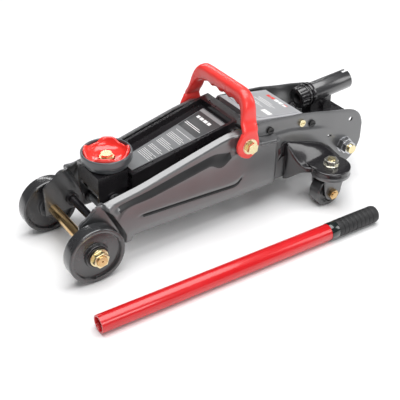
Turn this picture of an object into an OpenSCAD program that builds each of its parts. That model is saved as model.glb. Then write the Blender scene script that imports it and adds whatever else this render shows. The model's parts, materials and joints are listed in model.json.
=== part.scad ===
/* [Body] */
// Thickness of the stamped side plates
plate_t = 2.6; // [2.5:0.1:3.4]
// Height of the lift arm's pivot above the floor
pivot_z = 110; // [110:0.1:110.4]
// Half-width of the top cover
cover_hw = 39; // [36:0.5:40]
/* [Wheels] */
// Radius of the front wheels and height of their axle
front_r = 35.5; // [35:0.1:35.8]
// Width of the front wheels
front_w = 17.4; // [12:0.1:17.6]
// Radius of the caster wheels
caster_r = 20; // [19:0.1:20.2]
// Width of the caster wheels
caster_w = 18; // [14:0.5:18.5]
/* [Saddle] */
// Outer radius of the saddle rim
saddle_r = 30.3; // [29:0.1:31]
// Height of the saddle rim
saddle_z = 123.5; // [122:0.1:125]
/* [Lever] */
// Outside radius of the removable lever
lever_r = 10.6; // [10:0.1:10.7]
// Length of the removable lever
lever_len = 388; // [340:1:390]
// Inside radius of the handle socket
socket_ri = 11.2; // [11:0.1:11.4]
/* [Carry handle] */
// Height of the top bar of the carry handle above its bolts
bail_h = 57.5; // [54:0.5:58]

/* [Hidden] */
$fn = 96;
OX = -188.35; OY = 26.25;        // puts the middle of the whole set at the origin
P1 = [210, pivot_z];            // lift arm pivot, X and Z
D = [-7, -19];                  // offset of the levelling links' pivots
S1 = [46.5, 72];                // saddle bracket pivot
P2 = P1 + D;
S2 = S1 + D;
RP = [222, 74];                 // push roller
YP = [381, 50];                 // yoke pivot
YR = [373, 31];                 // yoke roller
RZ = 74;                        // ram axis height
PZ = 31;                        // pump axis height
CX = 328; CY = 83;              // caster swivel axis
CWX = 322;                      // caster wheel axle
SC = 52.9;                      // saddle centre
ss = 4.5;                       // slope of the handle socket
SH = 63.8;                      // height of its axis above the yoke pivot
gap = 0.05;
FA = [0, front_r];              // front axle
function armz(x) = S1[1] + (x - S1[0]) * (P1[1] - S1[1]) / (P1[0] - S1[0]);
function topz(x) = 101.8 + (x - 70) * 0.2221;
function coverz(x) = 124.4 - (x - 238) * 0.166;
front_line = [[19, 83.5], [23, 76], [28, 66], [36, 50], [39, 43], [40, 36]];
top_line = [[26, 86.2], [40, 88.8], [66, 94.5], [92, 101.5], [138, 113], [175, 122], [190, 124.8], [203, 125.6],
            [215, 123], [226, 115], [234, 105.5], [264, 102.3]];
screws = [[255.5, 108.2], [306, 103.5], [323, 98]];   // through the rear plates, X and Z
function rev(v) = [for (i = [len(v) - 1:-1:0]) v[i]];
function shift(v, d) = [for (p = v) p + d];

// moves from the jack's own frame, front axle at X = 0, to the frame of the set
module place() translate([OX, OY, 0]) children();
// a profile drawn in X and Z, standing from y = a to y = b
module slab(a, b) translate([0, b, 0]) rotate([90, 0, 0]) linear_extrude(b - a) children();
// a round bar along Y
module ybar(p, r, a, b) translate([p[0], b, p[1]]) rotate([90, 0, 0]) cylinder(r = r, h = b - a);
// a hexagonal bar along Y, af across its flats
module yhex(p, af, a, b, t = 0) translate([p[0], b, p[1]]) rotate([90, 0, 0]) rotate([0, 0, t])
    cylinder(r = af / sqrt(3), h = b - a, $fn = 6);
// a round bar along X
module xbar(y, z, r, a, b) translate([a, y, z]) rotate([0, 90, 0]) cylinder(r = r, h = b - a);
module xhex(y, z, af, a, b) translate([a, y, z]) rotate([0, 90, 0]) cylinder(r = af / sqrt(3), h = b - a, $fn = 6);
module spring_x(r, d, len, turns) rotate([0, 90, 0])
    linear_extrude(len, twist = 360 * turns, slices = turns * 14, $fn = 8) translate([r, 0]) circle(d / 2, $fn = 7);
module on_side(s) mirror([0, s < 0 ? 0 : 1, 0]) children();   // drawn on the left, which is -Y

// ---- chassis ----
module plate_left() difference() {
    t = plate_t;
    union() {
        // front section, close to the mid-plane
        slab(-46.5, -46.5 + t) polygon(concat([[-10.5, 29], [-10.5, 66], [-7.5, 70.5], [-2, 72.8]], front_line,
            [[43, 36], [43, 29]]));
        // wall that steps outwards behind the front wheel
        slab(-57, -46.5 + t) polygon(concat(front_line, rev(shift(front_line, [t, 0]))));
        // main panel
        slab(-57, -57 + t) polygon(concat(front_line, [[264, 36]], rev(top_line)));
        // flange turned inwards along the top edge
        slab(-57, -47) polygon(concat(top_line, rev(shift(top_line, [0, -t]))));
        // flange turned inwards along the bottom edge
        slab(-57, -42) polygon([[40, 36], [264, 36], [264, 36 + t], [40, 36 + t]]);
        // wall that steps back inwards in front of the caster
        slab(-57, -42) polygon([[264 - t, 36], [264, 36], [264, 102], [264 - t, 102]]);
        // rear section
        slab(-45, -45 + t) polygon([[229, 62], [229, 110], [238, 122.4], [242, 122.4], [307, 116], [384, 100.6],
            [391, 98.8], [399, 94], [406, 87], [410, 78], [410, 45], [406, 34], [400, 27], [394, 22], [386, 19],
            [372, 21], [330, 29], [281, 33], [229, 36]]);
        slab(-55, -44) polygon([[232, 100.4], [264, 98.1], [264, 101.1], [232, 103.9]]);
        // raised strip beside the cover
        slab(-45.8, -44.5) polygon([[243, 119.5], [306, 113.2], [345, 105.3], [345, 101], [306, 109.8], [243, 115]]);
    }
    ybar(FA, 6.5 + gap, -60, -40);
    ybar(P1, 8 + gap, -60, -40);
    ybar(P2, 4 + gap, -60, -40);
    ybar([276, RZ], 3 + gap, -60, -40);
    ybar(YP, 6 + gap, -60, -40);
    ybar([388, 85.5], 3, -60, -40);
    slab(-60, -40) polygon([[350.5, 70], [357.5, 68.6], [358, 71.4], [351, 72.8]]);
    for (p = screws) ybar(p, 2.5 + gap, -60, -40);
    ybar([287.5, 62], 3 + gap, -60, -40);
    // long pressed groove in the main panel
    slab(-58, -56) polygon([[62, 49], [205, 74.5], [205, 77], [62, 51.5]]);
}
module side_plate_left() color("#3c3f42") place() plate_left();
module side_plate_right() color("#3c3f42") place() on_side(1) plate_left();
module top_cover() color("#b9bcc0") place() difference() {
    union() {
        slab(-cover_hw, cover_hw) polygon([[238, coverz(238)], [313, coverz(313)], [313, coverz(313) - 2.2], [238, coverz(238) - 2.2]]);
        for (s = [-1, 1]) on_side(s) slab(-cover_hw, -cover_hw + 2.2) polygon([[240, coverz(240) - 1], [313, coverz(313) - 1],
            [313, coverz(313) - 18], [240, coverz(240) - 18]]);
        slab(-cover_hw, cover_hw) polygon([[238, coverz(238)], [240.2, coverz(240.2)], [240.2, coverz(240.2) - 7], [238, coverz(238) - 7]]);
    }
    for (p = screws) ybar(p, 2.5 + gap, -60, 60);
}
module cover_screws() color("#c8b27a") place() for (s = [-1, 1]) on_side(s) for (p = screws) {
    ybar(p, 2.5, -45.1, -34);
    difference() {
        ybar(p, 4.6, -47.6, -45.05);
        slab(-50, -46.8) translate(p) square([7, 1.2], center = true);
    }
}
module front_axle() color("#b08a4a") place() difference() {
    ybar(FA, 6.5, -79, 79);
    for (s = [-1, 1]) ybar(FA, 1.2, s * 79 - 1.5, s * 79 + 1.5);
}
module axle_nuts() color("#cdb56a") place() for (s = [-1, 1]) on_side(s) difference() {
    union() {
        yhex(FA, 17.5, -77.3, -69.6, 12);
        ybar(FA, 11.4, -71.2, -69.4);
    }
    ybar(FA, 6.5 + gap, -90, -60);
}
module axle_washers() color("#2b2c2e") place() for (s = [-1, 1]) on_side(s) {
    difference() { ybar(FA, 13.2, -69.3, -68.3); ybar(FA, 6.5 + gap, -90, -40); }
    difference() { ybar(FA, 10.5, -50.4, -46.6); ybar(FA, 6.5 + gap, -90, -40); }
}
module front_tie_rod() color("#1f2022") place() {
    difference() {
        ybar([24, 44], 5, -43.45, 43.45);
        ybar([24, 44], 2.5, -43.5, -30);
        ybar([24, 44], 2.5, 30, 43.5);
    }
    for (s = [-1, 1]) on_side(s) difference() { ybar([24, 44], 8, -43.45, -38); ybar([24, 44], 4.9, -44, -37); }
}
module arm_pivot_shaft() color("#8d9094") place() difference() {
    ybar(P1, 8, -57.2, 57.2);
    for (s = [-1, 1]) on_side(s) ybar(P1, 4.5 + gap, -58, -42);
}
module pivot_spacers() color("#6d7074") place() for (s = [-1, 1]) on_side(s) difference() {
    ybar(P1, 10, -53.9, -38.6);
    ybar(P1, 8 + gap, -60, -30);
}
module frame_pins() color("#8d9094") place() for (s = [-1, 1]) on_side(s) {
    ybar(P2, 4, -56.9, -18.9);
    ybar(P2, 6.5, -18.9, -17.2);
    difference() { ybar([276, RZ], 3, -44.9, -32.6); ybar([276, RZ], 1, -46, -40); }
}
module caster_bracket_l() {
    difference() {
        union() {
            // horizontal plate with a round end over the caster
            translate([0, 0, 50]) linear_extrude(4) union() {
                polygon([[299, -46], [303, -70], [309, -98], [347, -98], [353, -84], [353, -46]]);
                translate([CX, -CY]) circle(21);
            }
            // vertical wall on the side plate
            slab(-48, -45.05) polygon([[268, 36], [268, 80], [273, 84.5], [280, 85.5], [306, 79.3], [340, 66], [350, 60], [352, 50], [338, 40], [306, 30], [286, 30]]);
            // side flanges of the bracket
            for (x = [303, 350]) translate([x, 0, 0]) rotate([90, 0, 90]) linear_extrude(3)
                polygon([[-46, 52], [-46, 68], [-50, 67], [-84, 54], [-84, 52]]);
            // upper ball race
            translate([CX, -CY, 47.3]) cylinder(r = 24.5, h = 2.8);
        }
        translate([CX, -CY, 40]) cylinder(r = 5 + gap, h = 20);
        ybar([287.5, 62], 3 + gap, -60, -40);
        translate([CX, -CY, 47]) rotate_extrude() translate([17, 0]) circle(1.65, $fn = 24);
    }
}
module caster_bracket_left() color("#26282a") place() caster_bracket_l();
module caster_bracket_right() color("#26282a") place() on_side(1) caster_bracket_l();
module caster_kingpins() color("#c9b06a") place() for (s = [-1, 1]) on_side(s) translate([CX, -CY, 0]) {
    translate([0, 0, 42]) cylinder(r = 5, h = 21.5);
    translate([0, 0, 40.5]) cylinder(r = 8.4, h = 3.1);
}
module kingpin_nuts() color("#d8c68c") place() for (s = [-1, 1]) on_side(s) translate([CX, -CY, 0]) difference() {
    union() {
        translate([0, 0, 54.05]) cylinder(r = 10.4, h = 1.7);
        translate([0, 0, 55.7]) rotate([0, 0, 14]) cylinder(r = 16 / sqrt(3), h = 6.6, $fn = 6);
    }
    cylinder(r = 5 + gap, h = 90);
}
module power_unit_block() color("#55585c") place() difference() {
    union() {
        translate([282, -34, 46]) cube([10, 68, 50]);
        translate([282, -34, 24]) cube([30, 68, 24]);
    }
    xbar(0, RZ, 18 + gap, 280, 300);
    xbar(0, PZ, 9 + gap, 300, 320);
    xbar(-22, 36, 5 + gap, 302, 320);
    for (s = [-1, 1]) on_side(s) ybar([287.5, 62], 3 + gap, -40, -22);
}
module reservoir() color("#4a4d50") place() difference() {
    xbar(0, RZ, 30, 246, 281.9);
    xbar(0, RZ, 27, 249, 300);
    xbar(0, RZ, 18 + gap, 240, 260);
    translate([262, 0, 96]) cylinder(r = 5 + gap, h = 20);
}
module hydraulic_cylinder() color("#6a6d70") place() difference() {
    xbar(0, RZ, 18, 243, 291.9);
    xbar(0, RZ, 9.55, 240, 290.5);
}
module gland_nut() color("#77797c") place() difference() {
    union() { xhex(0, RZ, 34, 238.6, 242.95); }
    xbar(0, RZ, 9.55, 230, 250);
}
module filler_plug() color("#202124") place() translate([262, 0, 0]) {
    translate([0, 0, 98]) cylinder(r = 5, h = 7.4);
    translate([0, 0, 104.8]) cylinder(r = 8, h = 3.4);
}
module unit_bolts() color("#b9b9b4") place() for (s = [-1, 1]) on_side(s) {
    ybar([287.5, 62], 3, -48.1, -24);
    yhex([287.5, 62], 10, -52, -48.05, 10);
}
module pump_barrel() color("#77797c") place() difference() {
    xbar(0, PZ, 9, 302, 346);
    xbar(0, PZ, 5 + gap, 306, 350);
}
module yoke_pivot_bolts() color("#c8b27a") place() for (s = [-1, 1]) on_side(s) {
    ybar(YP, 6, -64.5, -29.9);
    ybar(YP, 9.5, -29.95, -26.4);
}
module yoke_pivot_nuts() color("#b4b6b8") place() for (s = [-1, 1]) on_side(s) difference() {
    union() {
        ybar(YP, 11.2, -47.6, -45.05);
        yhex(YP, 19, -53.6, -47.5, 8);
        yhex(YP, 16, -60.4, -53.5, 22);
    }
    ybar(YP, 6 + gap, -80, -30);
}
module yoke_spacers() color("#55585c") place() for (s = [-1, 1]) on_side(s) difference() {
    ybar(YP, 9.5, -41.9, -34.5);
    ybar(YP, 6 + gap, -80, -30);
}
module carry_handle_bolts() color("#cdb56a") place() for (s = [-1, 1]) on_side(s) {
    ybar(P1, 4.5, -66.5, -43);
    ybar(P1, 9.6, -67.0, -65.5);
    yhex(P1, 13, -72.6, -66.9, 20);
}
module return_springs() color("#8d9094") place() for (s = [-1, 1]) on_side(s)
    translate([226.6, -36.2, RZ]) spring_x(3.2, 1.3, 45.6, 11);

// ---- lift arm ----
module arm_plan(o) polygon([[68, -32.1 + o], [210, -37.8 + o], [219.5, -37.8 + o], [219.5, 37.8 - o], [210, 37.8 - o], [68, 32.1 - o]]);
module lift_arm() color("#17181a") place() difference() {
    union() {
        // top plate and side walls, narrower towards the saddle
        intersection() {
            difference() {
                linear_extrude(200) arm_plan(0);
                difference() {
                    linear_extrude(200) intersection() { arm_plan(3); translate([71, -60]) square([160, 120]); }
                    slab(-60, 60) polygon([[60, topz(60) - 11.5], [221, topz(221) - 11.5], [221, 200], [60, 200]]);
                }
            }
            slab(-60, 60) union() {
                polygon([[68, armz(68) - 10.5], [210, armz(210) - 10.5], [218, 103], [222, 112], [219.5, topz(215)],
                    [210, topz(210)], [68, topz(68)]]);
                translate(P1) circle(14);
            }
            // shallow tray in the top plate
            difference() {
                cube([600, 600, 600], center = true);
                intersection() {
                    linear_extrude(200) intersection() { arm_plan(4); translate([72, -60]) square([134, 120]); }
                    slab(-60, 60) polygon([[60, topz(60) - 8.5], [221, topz(221) - 8.5], [221, 200], [60, 200]]);
                }
            }
        }
        // tongues that carry the saddle pin
        for (s = [-1, 1]) on_side(s) slab(-18.8, -16) union() {
            translate(S1) circle(12);
            polygon([[46, 60.2], [68.5, 67], [71, 67.5], [71, 98], [60, 92], [44, 83.7]]);
        }
        // pivot tube and the two lugs of the push roller
        ybar(P1, 13, -37.9, 37.9);
        for (s = [-1, 1]) on_side(s) slab(-14, -10) union() {
            translate(RP) circle(8.5);
            translate(P1) circle(12.5);
            polygon([[198, 106], [214, 73], [230.4, 75.5], [222.4, 112]]);
        }
    }
    ybar(P1, 10 + gap, -60, 60);
    ybar(S1, 6 + gap, -60, 60);
    ybar(RP, 4 + gap, -60, 60);
}
module arm_bushes() color("#b08a4a") place() for (s = [-1, 1]) on_side(s) difference() {
    ybar(P1, 10, -37.9, -19);
    ybar(P1, 8 + gap, -60, 0);
}
module push_roller() color("#a5a8ab") place() difference() { ybar(RP, 9, -9.6, 9.6); ybar(RP, 4 + gap, -20, 20); }
module roller_pin() color("#8d9094") place() ybar(RP, 4, -39.4, 39.4);
module saddle_pin() color("#8d9094") place() {
    ybar(S1, 6, -27, 27);
    for (s = [-1, 1]) on_side(s) ybar(S1, 8.5, -28.6, -26.9);
}

// ---- saddle bracket ----
module saddle_bracket() color("#141517") place() difference() {
    union() {
        for (s = [-1, 1]) on_side(s) slab(-25.5, -22.5) union() {
            polygon([[27, 106], [27, 68], [32.2, 51], [46.5, 51], [57, 63], [60.5, 72], [66, 88], [66, 106]]);
            translate(S2) circle(7.5);
            translate(S1) circle(14);
        }
        slab(-25.5, 25.5) polygon([[27, 102], [66, 102], [66, 106], [27, 106]]);
        slab(-25.5, 25.5) polygon([[27, 83], [30, 83], [30, 106], [27, 106]]);
    }
    ybar(S1, 6 + gap, -60, 60);
    ybar(S2, 4 + gap, -60, 60);
    translate([SC, 0, 90]) cylinder(r = 5 + gap, h = 30);
}
module link_pin() color("#8d9094") place() {
    ybar(S2, 4, -26, 26);
    for (s = [-1, 1]) on_side(s) ybar(S2, 6, -27.3, -25.6);
}
module saddle_bolt() color("#cdb56a") place() translate([SC, 0, 0]) {
    translate([0, 0, 98]) cylinder(r = 5, h = 18);
    translate([0, 0, 114.3]) cylinder(r = 8.8, h = 1.4);
    translate([0, 0, 115.6]) rotate([0, 0, 10]) cylinder(r = 13 / sqrt(3), h = 4, $fn = 6);
    translate([0, 0, 97.6]) cylinder(r = 8, h = 4.35);
}
module saddle_cup() color("#33363a") place() translate([SC, 0, 0]) rotate_extrude()
    polygon([[5.1, 106.3], [26.5, 106.3], [26.5, 112.5], [29.8, 114], [saddle_r, 116], [saddle_r, saddle_z - 0.8],
        [saddle_r - 0.8, saddle_z], [27.4, saddle_z], [26.6, 112.9], [5.1, 109.5]]);
module saddle_pad() color("#e03a3a") place() translate([SC, 0, 0]) difference() {
    rotate_extrude() polygon([[9.4, 110.5], [26.3, 113.1], [27.1, 123.3], [25.6, 127], [24.2, 127], [23.2, 120],
        [19, 116], [9.4, 114]]);
    // four shallow scoops leave four lobes
    for (a = [0, 90]) rotate([0, 0, a + 12]) translate([-40, 0, 136.5]) rotate([0, 90, 0]) cylinder(r = 13, h = 80);
    difference() { cylinder(r = 9.6, h = 114.2); cylinder(r = 9.35, h = 110); }
}
module link_shape() difference() {
    slab(-21.8, -19.2) union() {
        translate(P2) circle(6.6);
        translate(S2) circle(6.6);
        polygon([P2 + [-0.9, 3.8], P2 + [-28.3, -2.2], S2 + [-1.3, 5.5], S2 + [1.3, -5.5], P2 + [1.3, -5.5]]);
    }
    ybar(P2, 4 + gap, -60, 0);
    ybar(S2, 4 + gap, -60, 0);
}
module level_link_left() color("#2b2c2e") place() link_shape();
module level_link_right() color("#2b2c2e") place() on_side(1) link_shape();

// ---- hydraulics ----
module ram() color("#c9ccd0") place() union() {
    difference() { xbar(0, RZ, 9.5, 237.5, 289.5); xbar(0, RZ, 5, 276, 300); }
}
module ram_head() color("#55585c") place() difference() {
    translate([231.9, -9.3, 60]) cube([5.5, 18.6, 30]);
    xbar(0, RZ, 2.5, 236, 240);
}
module release_valve() color("#a5a8ab") place() {
    xbar(-22, 36, 5, 303, 318);
    xhex(-22, 36, 8, 317.9, 325);
}
module pump_plunger() color("#c9ccd0") place() {
    xbar(0, PZ, 5, 308, 363);
    xbar(0, PZ, 8.6, 362.9, 366.5);
}
module pump_spring() color("#8d9094") place() translate([346.7, 0, PZ]) spring_x(6.9, 1.5, 15.4, 5);

// ---- handle ----
module handle_yoke() color("#1b1c1e") place() difference() {
    union() {
        for (s = [-1, 1]) on_side(s) slab(-34, -30) union() {
            translate(YP) circle(12);
            translate(YR) circle(7);
            polygon([[370, 90], [392, 90], [393, 52], [379, 26], [366.5, 33], [370, 52]]);
        }
        translate([340, -26, 86]) cube([35, 52, 4]);
        translate([366, -34, 86]) cube([28, 68, 4]);
        // cradle under the socket
        translate([352, -9, 89]) cube([34, 18, 17]);
        ybar([376, 94], 7, -14, 14);
        // ring around the front end of the socket
        translate([381, 0, 50]) rotate([0, -ss, 0]) translate([-25, 0, SH]) rotate([0, 90, 0]) cylinder(r = 15.2, h = 5);
    }
    translate([381, 0, 50]) rotate([0, -ss, 0]) translate([-60, 0, SH]) rotate([0, 90, 0]) cylinder(r = 13 + gap, h = 130);
    ybar(YP, 6 + gap, -60, 60);
    ybar(YR, 3 + gap, -60, 60);
}
module yoke_roller() color("#a5a8ab") place() {
    ybar(YR, 3, -33.9, 33.9);
    difference() { ybar(YR, 6, -10, 10); ybar(YR, 2.9, -20, 20); }
}
// everything below is drawn along the socket's own axis, from the yoke pivot
module in_socket() translate([381, 0, 50]) rotate([0, -ss, 0]) translate([0, 0, SH]) rotate([0, 90, 0]) children();
module socket_collar() color("#131416") place() in_socket() translate([0, 0, -42.5]) difference() {
    union() {
        cylinder(r = 13.2, h = 15.4);
        for (i = [0:11]) rotate([0, 0, 30 * i]) translate([13.2, 0, 1.5]) cylinder(r = 1.1, h = 10, $fn = 16);
        translate([0, 0, 12.4]) cylinder(r = 14.6, h = 3);
    }
    translate([0, 0, -1]) cylinder(r = 11.8 + gap, h = 30);
}
module handle_socket() color("#3c3f42") place() in_socket() difference() {
    union() {
        translate([0, 0, -27]) cylinder(r = 13, h = 68.5);
        translate([0, 0, -42]) cylinder(r = 11.8, h = 15.1);
    }
    translate([0, 0, -20]) cylinder(r = socket_ri, h = 80);
    translate([0, 0, -44]) cylinder(r = 7, h = 12);
    // notch in the mouth
    translate([-16, -3, 33.5]) cube([8, 6, 20]);
}
module bail_half() {
    // ear around the bolt and the flat leg above it
    difference() {
        union() {
            ybar(P1, 16, -65.8, -58);
            hull() {
                ybar([P1[0] + 0.6, P1[1] + 4], 14.6, -65.2, -58.2);
                ybar([P1[0] + 3, P1[1] + 22], 10, -65.2, -58.2);
            }
        }
        ybar(P1, 4.6, -80, -40);
        ybar(P1, 11.5, -72, -65.2);
    }
    // joggle inwards above the side plate, then the bend towards the grip
    hull() {
        ybar([P1[0] + 3, P1[1] + 25], 8, -65.1, -58.3);
        translate([P1[0] + 4, -53.8, P1[1] + 36]) sphere(6.6, $fn = 24);
    }
    hull() {
        translate([P1[0] + 4, -53.8, P1[1] + 36]) sphere(6.6, $fn = 24);
        translate([P1[0] + 6.8, -41, P1[1] + bail_h]) sphere(7.4, $fn = 24);
    }
}
module carry_handle() color("#ef3b3b") place() union() {
    bail_half();
    on_side(1) bail_half();
    ybar([P1[0] + 6.8, P1[1] + bail_h], 7.4, -41, 41);
}

// ---- wheels ----
module wheel(r, w, hub, bore) rotate([90, 0, 0]) translate([0, 0, -w / 2]) difference() {
    rotate_extrude() polygon([[bore, 0.4], [hub, 0.4], [hub + 1, 4.4], [r - 6, 4.4], [r - 5, 0.6], [r - 1.2, 0], [r, 1.4],
        [r, w - 1.4], [r - 1.2, w], [r - 5, w - 0.6], [r - 6, w - 4.4], [hub + 1, w - 4.4], [hub, w - 0.4], [bore, w - 0.4]]);
}
module front_wheel_left() color("#3a3b3d") place() translate([0, -59.4, front_r]) wheel(front_r, front_w, 14.5, 6.5 + gap);
module front_wheel_right() color("#3a3b3d") place() translate([0, 59.4, front_r]) wheel(front_r, front_w, 14.5, 6.5 + gap);
module fork() difference() {
    union() {
        translate([CX, -CY, 44]) cylinder(r = 25.5, h = 3);
        for (y = [-CY - 13.4, -CY + 10.4]) slab(y, y + 3) union() {
            translate([CWX, caster_r]) circle(9);
            polygon([[CWX - 9, caster_r], [CWX + 9, caster_r], [CX + 15, 47], [CX - 17, 47]]);
        }
    }
    translate([CX, -CY, 40]) cylinder(r = 5 + gap, h = 20);
    ybar([CWX, caster_r], 4 + gap, -120, 0);
    translate([CX, -CY, 47.4]) rotate_extrude() translate([17, 0]) circle(1.65, $fn = 24);
}
module caster_fork_left() color("#26282a") place() fork();
module caster_fork_right() color("#26282a") place() on_side(1) fork();
module caster_wheel_left() color("#3a3b3d") place() translate([CWX, -CY, caster_r]) wheel(caster_r, caster_w, 8, 4 + gap);
module caster_wheel_right() color("#3a3b3d") place() translate([CWX, CY, caster_r]) wheel(caster_r, caster_w, 8, 4 + gap);
module caster_axle() {
    ybar([CWX, caster_r], 4, -CY - 19.5, -CY + 14);
    ybar([CWX, caster_r], 7, -CY + 13.5, -CY + 16);
    yhex([CWX, caster_r], 12, -CY - 18, -CY - 13.5);
}
module caster_axle_left() color("#b08a4a") place() caster_axle();
module caster_axle_right() color("#b08a4a") place() on_side(1) caster_axle();

// ---- removable lever, lying beside the jack ----
module at_lever() translate([-41.5, -142, 10.9]) rotate([0, 0, -1.2]) rotate([0, 90, 0]) children();
module lever_tube() color("#cf1f2b") place() at_lever() difference() {
    cylinder(r = lever_r, h = lever_len - 64);
    translate([0, 0, -1]) cylinder(r = lever_r - 2, h = lever_len - 70);
}
module lever_collar() color("#0f1416") place() at_lever() translate([0, 0, lever_len - 76]) difference() {
    cylinder(r = 10.9, h = 11.8);
    translate([0, 0, -1]) cylinder(r = lever_r + gap, h = 20);
}
module lever_grip() color("#1a1b1c") place() at_lever() translate([0, 0, lever_len - 63.9]) difference() {
    rotate_extrude() polygon([[0, 0], [10.9, 0], [10.9, 60], [10.1, 62.6], [8.6, 63.9], [0, 63.9]]);
    for (i = [0:7]) translate([0, 0, 6 + 6.5 * i]) rotate_extrude() polygon([[10.4, 0.6], [12, 0], [12, 2], [10.4, 1.4]]);
}

side_plate_left();
side_plate_right();
top_cover();
cover_screws();
front_axle();
axle_nuts();
axle_washers();
front_tie_rod();
arm_pivot_shaft();
pivot_spacers();
frame_pins();
caster_bracket_left();
caster_bracket_right();
caster_kingpins();
kingpin_nuts();
power_unit_block();
reservoir();
hydraulic_cylinder();
gland_nut();
filler_plug();
unit_bolts();
pump_barrel();
yoke_pivot_bolts();
yoke_pivot_nuts();
yoke_spacers();
carry_handle_bolts();
return_springs();
lift_arm();
arm_bushes();
push_roller();
roller_pin();
saddle_pin();
saddle_bracket();
link_pin();
saddle_bolt();
saddle_cup();
saddle_pad();
level_link_left();
level_link_right();
ram();
ram_head();
release_valve();
pump_plunger();
pump_spring();
handle_yoke();
yoke_roller();
socket_collar();
handle_socket();
carry_handle();
front_wheel_left();
front_wheel_right();
caster_fork_left();
caster_fork_right();
caster_wheel_left();
caster_wheel_right();
caster_axle_left();
caster_axle_right();
lever_tube();
lever_collar();
lever_grip();
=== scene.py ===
import bpy, bmesh, json, math
import numpy as np
from mathutils import Vector, Matrix


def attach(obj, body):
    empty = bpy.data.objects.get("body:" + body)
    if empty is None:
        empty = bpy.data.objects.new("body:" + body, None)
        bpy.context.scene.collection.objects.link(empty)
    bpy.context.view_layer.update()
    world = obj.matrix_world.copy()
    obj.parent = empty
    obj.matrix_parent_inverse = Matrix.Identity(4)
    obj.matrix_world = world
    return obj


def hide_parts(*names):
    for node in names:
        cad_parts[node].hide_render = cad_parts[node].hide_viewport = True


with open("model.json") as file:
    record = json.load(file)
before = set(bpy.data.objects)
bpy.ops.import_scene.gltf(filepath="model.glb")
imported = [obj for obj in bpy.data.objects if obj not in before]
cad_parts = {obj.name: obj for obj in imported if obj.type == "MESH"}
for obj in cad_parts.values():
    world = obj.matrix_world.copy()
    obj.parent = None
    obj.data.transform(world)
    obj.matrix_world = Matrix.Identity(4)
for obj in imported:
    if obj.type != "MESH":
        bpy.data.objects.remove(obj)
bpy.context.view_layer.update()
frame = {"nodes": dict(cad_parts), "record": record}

N = frame["nodes"]
scene = bpy.context.scene
OX, OY = -188.35, 26.25


def J(x, y, z):
    """Jack millimetres (front axle at X 0) to the shared frame in metres."""
    return ((x + OX) / 1000.0, (y + OY) / 1000.0, z / 1000.0)


# ------------------------------------------------------------------ camera
def make_camera():
    az, el, roll = math.radians(-34.2), math.radians(34.1), math.radians(0.6)
    back = Vector((math.sin(az) * math.cos(el), -math.cos(az) * math.cos(el), math.sin(el)))
    target = Vector(J(167.5, -23.5, 25.3))
    loc = target + back * 1.1064
    right = Vector((0, 0, 1)).cross(back).normalized()
    up = back.cross(right).normalized()
    r2 = math.cos(roll) * right + math.sin(roll) * up
    u2 = -math.sin(roll) * right + math.cos(roll) * up
    m = Matrix(((r2.x, u2.x, back.x, loc.x), (r2.y, u2.y, back.y, loc.y), (r2.z, u2.z, back.z, loc.z), (0, 0, 0, 1)))
    cam = bpy.data.cameras.new("camera")
    cam.lens = 79.6
    cam.sensor_width = 36.0
    cam.clip_start = 0.01
    ob = bpy.data.objects.new("camera", cam)
    scene.collection.objects.link(ob)
    ob.matrix_world = m
    scene.camera = ob


make_camera()

# ------------------------------------------------------------------ stage and light
scene.view_settings.view_transform = "Standard"
world = bpy.data.worlds.new("studio")
scene.world = world
world.use_nodes = True
wn = world.node_tree.nodes
bg = wn["Background"]
bg.inputs[0].default_value = (0.93, 0.95, 1.0, 1)
bg.inputs[1].default_value = 0.10


def area(name, loc, target, size, energy, size_y=None, color=(1, 1, 1)):
    l = bpy.data.lights.new(name, "AREA")
    l.energy = energy
    l.size = size
    if size_y:
        l.shape = "RECTANGLE"
        l.size_y = size_y
    l.color = color
    o = bpy.data.objects.new(name, l)
    scene.collection.objects.link(o)
    o.location = loc
    o.rotation_euler = (Vector(target) - Vector(loc)).to_track_quat("-Z", "Y").to_euler()
    return o


area("top", (0.0, -0.1, 2.0), (0.0, 0.0, 0.0), 2.2, 62, 2.0)
area("key_front", (-0.35, -1.7, 1.0), (0.0, 0.0, 0.05), 0.9, 9, 0.5)
area("side_right", (1.5, -0.9, 0.9), (0.0, 0.0, 0.05), 0.6, 6, 0.9)
area("strip_back", (0.55, 1.5, 0.95), (0.0, 0.0, 0.08), 1.3, 4, 0.12)

bm = bmesh.new()
bmesh.ops.create_grid(bm, x_segments=1, y_segments=1, size=3.0)
fm = bpy.data.meshes.new("floor")
bm.to_mesh(fm)
bm.free()
floor = bpy.data.objects.new("floor", fm)
scene.collection.objects.link(floor)
floor.location = (0, 0, -0.0002)


# ------------------------------------------------------------------ materials
def new_mat(name):
    m = bpy.data.materials.new(name)
    m.use_nodes = True
    nt = m.node_tree
    b = nt.nodes["Principled BSDF"]
    return m, nt, b


def tex_coord(nt, scale=(1, 1, 1)):
    tc = nt.nodes.new("ShaderNodeTexCoord")
    mp = nt.nodes.new("ShaderNodeMapping")
    mp.inputs["Scale"].default_value = scale
    nt.links.new(tc.outputs["Object"], mp.inputs[0])
    return mp.outputs[0]


def noise(nt, vec, scale, detail=4, rough=0.55, dist=0.0):
    n = nt.nodes.new("ShaderNodeTexNoise")
    n.inputs["Scale"].default_value = scale
    n.inputs["Detail"].default_value = detail
    n.inputs["Roughness"].default_value = rough
    n.inputs["Distortion"].default_value = dist
    nt.links.new(vec, n.inputs["Vector"])
    return n.outputs["Fac"]


def ramp(nt, fac, stops):
    r = nt.nodes.new("ShaderNodeValToRGB")
    e = r.color_ramp.elements
    while len(e) < len(stops):
        e.new(0.5)
    for el, (p, c) in zip(e, stops):
        el.position = p
        el.color = (c[0], c[1], c[2], 1) if not isinstance(c, (int, float)) else (c, c, c, 1)
    nt.links.new(fac, r.inputs[0])
    return r.outputs[0]


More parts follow.
